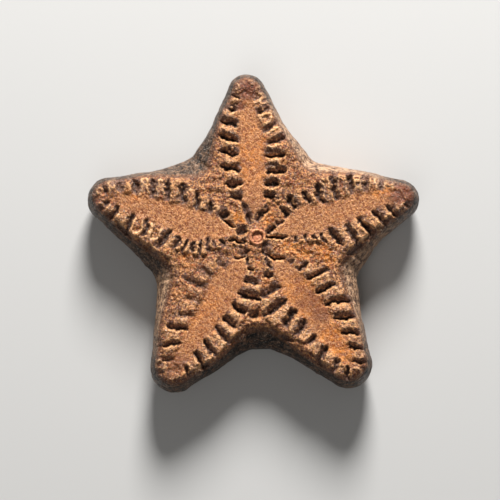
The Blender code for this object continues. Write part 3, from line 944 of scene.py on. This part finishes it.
# Worn places stand out above what surrounds them and are painted pale, partly as wear and partly
# as painted highlight. Sheltered ones lie below it and are painted dark, as painted shade.
ends = np.empty(len(mesh.edges) * 2, int)
mesh.edges.foreach_get("vertices", ends)
ends = ends.reshape(-1, 2).T
ends = ends[:, (ends < faces_count).all(0)]
heights = -np.concatenate((upper.drop, lower.drop))
inner = np.concatenate((step(upper.to_rim, *INNER_PART),
                        step(lower.to_rim, *INNER_PART) * UNDERSIDE_WEAR_AND_SHADE))
wear_highlight_and_shade = (heights - smoothed(heights, ends)) * inner / WEAR_AND_SHADE_HEIGHT
tones_and_shade = wall_tones_and_shade()
on_upper = np.concatenate((tones_and_shade, np.zeros(upper_count - around)))
on_lower = np.concatenate((tones_and_shade, np.zeros(len(lower.points) - around)))

layers = {name: np.concatenate((upper.masks[name], lower.masks[name], np.zeros(wall_count)))
          for name in upper.masks}
layers["wear_highlight_and_shade"] = np.concatenate((wear_highlight_and_shade, np.zeros(wall_count)))
layers["wall"] = np.concatenate((np.zeros(faces_count), np.ones(wall_count)))
layers["tone"] = np.concatenate((on_upper, on_lower, np.tile(tones_and_shade, len(rings))))
for name, values in layers.items():
    attribute = mesh.attributes.new(name, "FLOAT", "POINT")
    attribute.data.foreach_set("value", values.astype(np.float32))
fossil = bpy.data.objects.new("fossil_plate", mesh)
bpy.context.scene.collection.objects.link(fossil)


def paint(red, green, blue):
    """A colour from its screen values, 0 to 255."""
    shares = [value / 255 for value in (red, green, blue)]
    linear = [s / 12.92 if s < 0.04 else ((s + 0.055) / 1.055) ** 2.4 for s in shares]
    return (*linear, 1.0)


def fossil_calcite():
    """Mottled orange-brown stone with pale threads, rubbed crests, stains and mud, and painted
    highlights, glints and shade.
    """
    material = bpy.data.materials.new("fossil_calcite")
    material.use_nodes = True
    nodes, links = material.node_tree.nodes, material.node_tree.links
    shader = nodes["Principled BSDF"]

    def give(socket, value):
        if hasattr(value, "is_linked"):
            links.new(value, socket)
        else:
            socket.default_value = value

    def make(kind, **sockets):
        node = nodes.new(kind)
        for name, value in sockets.items():
            give(node.inputs[name.replace("_", " ")], value)
        return node

    def maths(operation, one, two=0.5, clamp=False):
        node = nodes.new("ShaderNodeMath")
        node.operation = operation
        node.use_clamp = clamp
        give(node.inputs[0], one)
        give(node.inputs[1], two)
        return node.outputs[0]

    def times(one, two):
        return maths("MULTIPLY", one, two)

    def span(value, low, high, at_low=0.0, at_high=1.0):
        """The value's place between low and high, carried over to another pair of ends."""
        node = make("ShaderNodeMapRange", Value=value, From_Min=low, From_Max=high,
                    To_Min=at_low, To_Max=at_high)
        return node.outputs[0]

    def blend(share, one, two):
        node = nodes.new("ShaderNodeMix")
        node.data_type = "RGBA"
        give(node.inputs[0], share)
        give(node.inputs[6], one)
        give(node.inputs[7], two)
        return node.outputs[2]

    def mask(name):
        node = nodes.new("ShaderNodeAttribute")
        node.attribute_name = name
        return node.outputs["Fac"]

    # Places are in millimetres here, so that the sizes of the noise are too.
    millimetres = make("ShaderNodeVectorMath")
    millimetres.operation = "SCALE"
    millimetres.inputs["Scale"].default_value = 1 / MM
    links.new(make("ShaderNodeTexCoord").outputs["Object"], millimetres.inputs[0])
    place = millimetres.outputs[0]

    def noise(size, detail=2.0, rough=0.55, at=place, swirl=0.0):
        node = make("ShaderNodeTexNoise", Vector=at, Scale=1 / size, Detail=detail,
                    Roughness=rough, Distortion=swirl)
        return node.outputs["Fac"]

    grain = noise(0.036, detail=3.0, rough=0.7)
    speckle = noise(0.020, detail=1.0)
    mottle = noise(0.13, detail=3.0)
    tatters = noise(0.06, detail=3.0, rough=0.6)
    patches = noise(0.7)

    def threads(size, width):
        """Thin bright veins that wander through the stone."""
        middle = maths("ABSOLUTE", maths("SUBTRACT", noise(size, rough=0.6), 0.5))
        return span(middle, width, 0.0)

    def fibres(turn):
        """Short threads that all lie one way, three times as long as they are wide."""
        laid = make("ShaderNodeMapping", Vector=place)
        laid.vector_type = "TEXTURE"
        laid.inputs["Rotation"].default_value = (0, 0, math.radians(turn))
        laid.inputs["Scale"].default_value = (1, 3, 1)
        return noise(0.032, rough=0.6, at=laid.outputs[0], swirl=0.8)

    veins = threads(0.085, width=0.07)
    cracks = threads(0.12, width=0.05)
    fine_veins = threads(0.055, width=0.035)
    weave = maths("MAXIMUM", fibres(40), fibres(-35))

    def ragged(name, low, high, depth=1.0):
        """A mask with its edge broken up by the grain."""
        torn = maths("ADD", times(tatters, 1.2), times(weave, 0.8))
        shaken = maths("ADD", mask(name), times(maths("SUBTRACT", torn, 1.06), depth))
        return span(shaken, low, high)

    def by_petal(off, on):
        """One strength off the petals and another on them."""
        return span(mask("petal"), 0, 1, off, on)

    def sugar(dark, light, low=0.36, high=0.64):
        """Two colours that change from grain to grain, as in broken sugar."""
        return blend(span(grain, low, high), paint(*dark), paint(*light))

    # The stone between the petals is mottled in two browns.
    brown = sugar((66, 30, 17), (142, 74, 40), 0.4, 0.6)
    light_brown = sugar((92, 43, 22), (190, 103, 54), 0.4, 0.6)
    colour = blend(span(mottle, 0.38, 0.62), brown, light_brown)

    def lay(share, over, strength=None):
        """Lay one more colour over the stone, in full or at some strength."""
        nonlocal colour
        if strength is not None:
            share = times(share, strength)
        colour = blend(share, colour, over)

    # Petals: warm orange-brown, woven with dark and pale threads.
    petal = blend(span(patches, 0.4, 0.62), paint(174, 84, 46), paint(202, 100, 48))
    dark_thread = blend(0.70, petal, paint(92, 44, 22))
    pale_thread = blend(0.70, petal, paint(250, 178, 108))
    petal = blend(span(weave, 0.44, 0.70), dark_thread, pale_thread)
    petal = blend(span(mottle, 0.35, 0.65, 0.35, 0.0), petal, paint(118, 62, 34))
    lay(ragged("petal", 0.1, 0.9, 0.9), petal)

    # Stains in the stone: dark clouds, clear amber and the darker border, and darker patches by the
    # grooves and notches that are partly painted shade.
    clouds = span(noise(0.33), 0.48, 0.66, 0.0, 0.6)
    lay(clouds, sugar((72, 38, 26), (128, 72, 46)), by_petal(1.0, 0.25))
    amber = blend(span(mottle, 0.4, 0.6), paint(150, 70, 18), paint(244, 146, 48))
    lay(ragged("amber", 0.1, 0.9), amber)
    lay(ragged("shade", 0.2, 0.9), sugar((62, 36, 28), (112, 68, 50)), 0.85)
    lay(ragged("border", 0.1, 0.9, 0.5), sugar((78, 42, 30), (142, 84, 58)), 0.6)

    # Crests painted cream, partly as rubbing and partly as painted highlight, the veins, and the pale
    # lines round worn ridges and knobs, partly painted highlight.
    lay(ragged("crest", 0.1, 1.0, 0.8), sugar((160, 92, 56), (255, 208, 158), 0.4, 0.6), 0.95)
    lay(veins, paint(246, 177, 111), by_petal(0.75, 0.0))
    lay(cracks, paint(48, 26, 18), by_petal(0.7, 0.15))
    lay(fine_veins, paint(250, 186, 128), by_petal(0.15, 0.85))
    # Pale lines on the raised edges of worn ridges and knobs, partly painted highlight.
    lay(ragged("pale_lit_line", 0.05, 0.5, 0.25), sugar((206, 132, 80), (255, 212, 158)))

    # The brown knobbly tips, purple-brown stains, the rim, the canal and the lip of the ledge.
    lay(mask("tip"), sugar((52, 27, 19), (118, 66, 42)), span(tatters, 0.40, 0.56, 0.85, 0.1))
    lay(ragged("stain", 0.1, 0.8, 0.8), sugar((76, 36, 24), (136, 73, 47)), 0.85)
    lay(mask("rim"), sugar((70, 44, 32), (122, 80, 57)), 0.85)
    lay(mask("canal"), sugar((176, 96, 62), (232, 156, 110)))
    lay(ragged("lip", 0.2, 0.8), paint(196, 148, 114), 0.5)

    # The side, from nearly black to cream, in flat scales; part of its darkness and paleness is
    # painted shade and light.
    flattened = make("ShaderNodeMapping", Vector=place)
    flattened.inputs["Scale"].default_value = (1, 1, 2.6)
    scales = noise(0.10, detail=4.0, rough=0.7, at=flattened.outputs[0])
    dark_side = blend(span(scales, 0.49, 0.66), paint(14, 8, 5), paint(122, 88, 66))
    pale_side = blend(span(scales, 0.42, 0.58), paint(88, 55, 38), paint(228, 182, 142))
    uneven_tone = times(maths("SUBTRACT", mottle, 0.5), 0.5)
    paleness = maths("ADD", mask("tone"), uneven_tone, clamp=True)
    lay(mask("wall"), blend(paleness, dark_side, pale_side))

    # Mud and painted shade in the grooves, worn edges with painted highlights, painted shade in
    # sheltered corners, the slits painted near black as shadow, and painted glints.
    # Mud, and painted shade on the grooves' slopes and in hollow knobs.
    lay(ragged("mud", 0.12, 0.75, 0.85), sugar((66, 45, 38), (146, 104, 84)), 0.92)
    # Pale paint on raised points: partly wear, partly painted highlight.
    lay(span(mask("wear_highlight_and_shade"), 0.35, 1.8), paint(254, 192, 130), span(grain, 0.42, 0.56, 0.0, 0.9))
    # Painted shade in creases and hollows.
    lay(span(mask("wear_highlight_and_shade"), -0.3, -1.5, 0.0, 0.6), paint(44, 22, 14))
    # The slits, and the ledges under free lobes, painted near black as shadow.
    lay(ragged("shadowed_slit", 0.3, 1.0), paint(16, 8, 5), 0.75)
    # Painted glints: tiny white highlights, most on the crests.
    catching = maths("ADD", times(mask("crest"), 0.5), by_petal(0.4, 0.2))
    painted_glints = maths("MULTIPLY", span(speckle, 0.64, 0.70), catching, clamp=True)
    lay(painted_glints, paint(255, 232, 208))

    links.new(colour, shader.inputs["Base Color"])
    links.new(span(grain, 0.3, 0.7, 0.30, 0.50), shader.inputs["Roughness"])
    shader.inputs["Metallic"].default_value = 0.0
    shader.inputs["Specular IOR Level"].default_value = 0.35
    fine = maths("ADD", times(grain, 0.6), times(weave, 0.6))
    height = maths("ADD", fine, times(tatters, by_petal(1.6, 0.3)))
    bump = make("ShaderNodeBump", Height=height, Strength=1.0, Distance=0.030 * MM)
    links.new(bump.outputs[0], shader.inputs["Normal"])
    return material


fossil.data.materials.append(fossil_calcite())
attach(fossil, "root")
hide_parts("columnal")

# The floor
# The plate lies on a sheet of pale matt paper, much larger than it is. The paper lies a hair
# below the ridges that the plate rests on.

FLOOR_HALF = 60
FLOOR_GAP = 0.003
PAPER_COLOUR = (0.62, 0.61, 0.59, 1)

corners = [(x * FLOOR_HALF * MM, y * FLOOR_HALF * MM, -FLOOR_GAP * MM)
           for x, y in ((-1, -1), (1, -1), (1, 1), (-1, 1))]
floor_mesh = bpy.data.meshes.new("floor")
floor_mesh.from_pydata(corners, [], [(0, 1, 2, 3)])
floor = bpy.data.objects.new("floor", floor_mesh)
bpy.context.scene.collection.objects.link(floor)
paper = bpy.data.materials.new("pale_paper")
paper.use_nodes = True
paper_shader = paper.node_tree.nodes["Principled BSDF"]
paper_shader.inputs["Base Color"].default_value = PAPER_COLOUR
paper_shader.inputs["Roughness"].default_value = 0.9
floor_mesh.materials.append(paper)

# The lights
# A round softbox stands low in the north, so that the relief throws its shadows to the south. A
# weak wide one from the other side and a dim white room lift the shadows.

SOFTBOX_DISTANCE = 60
ROOM_STRENGTH = 0.09


def softbox(name, azimuth, elevation, size, power):
    """A round light that faces the plate. Its azimuth runs clockwise from the north."""
    lamp = bpy.data.lights.new(name, "AREA")
    lamp.shape = "DISK"
    lamp.size = size * MM
    lamp.energy = power
    turn, height = math.radians(azimuth), math.radians(elevation)
    away = Vector((math.sin(turn) * math.cos(height), math.cos(turn) * math.cos(height),
                   math.sin(height)))
    box = bpy.data.objects.new(name, lamp)
    box.location = away * SOFTBOX_DISTANCE * MM
    box.rotation_mode = "QUATERNION"
    box.rotation_quaternion = away.to_track_quat("Z", "Y")
    bpy.context.scene.collection.objects.link(box)


softbox("key_light", azimuth=5, elevation=30, size=22, power=0.074)
softbox("fill_light", azimuth=200, elevation=60, size=40, power=0.005)

world = bpy.data.worlds.new("studio")
world.use_nodes = True
room = world.node_tree.nodes["Background"]
room.inputs["Color"].default_value = (1, 1, 1, 1)
room.inputs["Strength"].default_value = ROOM_STRENGTH
bpy.context.scene.world = world

# The camera
# A long lens looks down on the plate from a little south of straight above, so that the whole
# star fills the frame and its southern side just shows.

FRAME_WIDTH = 8.98  # at the plate's upper face
ELEVATION = 84
AIM = Vector((-0.133, -0.241, THICKNESS))
LENS = 500
SENSOR = 36

camera_data = bpy.data.cameras.new("camera")
camera_data.lens = LENS
camera_data.sensor_width = SENSOR
camera_data.clip_start = 0.001
camera_data.clip_end = 1.0
tilt = math.radians(ELEVATION)
back = Vector((0, -math.cos(tilt), math.sin(tilt)))
camera = bpy.data.objects.new("camera", camera_data)
camera.location = (AIM + back * (FRAME_WIDTH * LENS / SENSOR)) * MM
camera.rotation_mode = "QUATERNION"
camera.rotation_quaternion = (-back).to_track_quat("-Z", "Y")
bpy.context.scene.collection.objects.link(camera)
bpy.context.scene.camera = camera
bpy.context.scene.view_settings.view_transform = "Standard"
